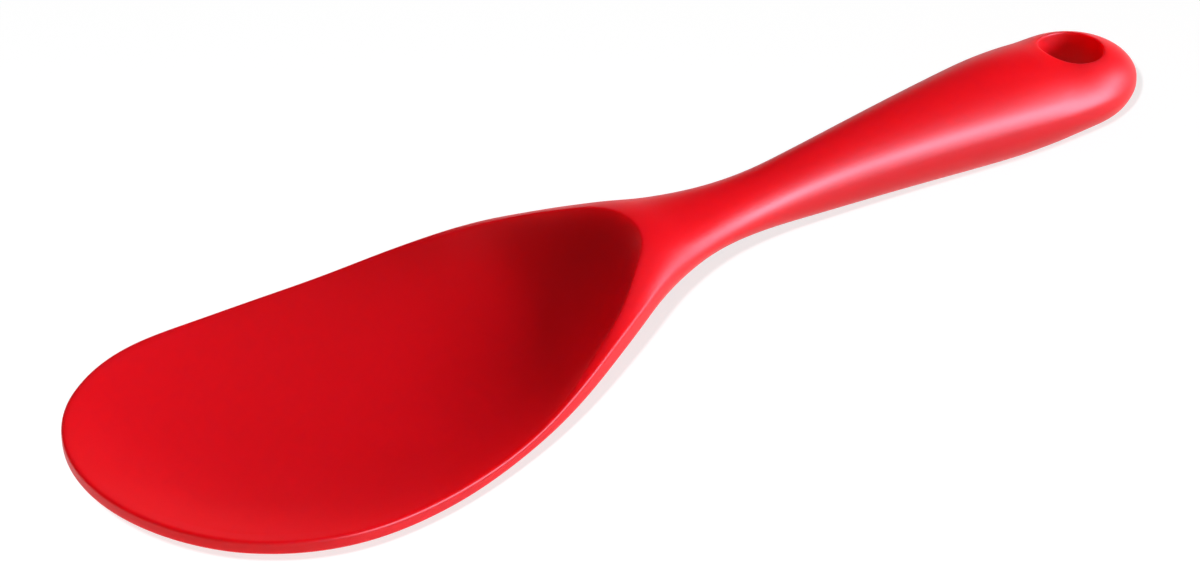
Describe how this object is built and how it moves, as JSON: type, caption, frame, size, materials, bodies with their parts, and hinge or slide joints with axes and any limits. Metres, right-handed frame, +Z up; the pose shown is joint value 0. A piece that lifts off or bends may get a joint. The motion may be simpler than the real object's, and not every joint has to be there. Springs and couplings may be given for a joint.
{
  "type": "rice paddle",
  "caption": "Silicone rice paddle with a dished round blade, a bowl with a raised heel lip, a crowned handle and a hanging hole.",
  "frame": {"origin": "on the table, under the middle of the paddle's length and width, as it lies on its belly and the end of its handle", "axes": "+X from the tip of the blade towards the end of the handle, +Y across, +Z up"},
  "size_m": [0.225, 0.0718, 0.0186],
  "materials": {
    "red_silicone": "matt",
    "stainless_plate": "satin",
    "nylon_core": "matt"
  },
  "bodies": {
    "root": {"silicone_skin": "red_silicone", "blade_core": "stainless_plate", "handle_core": "nylon_core"}
  },
  "joints": []
}
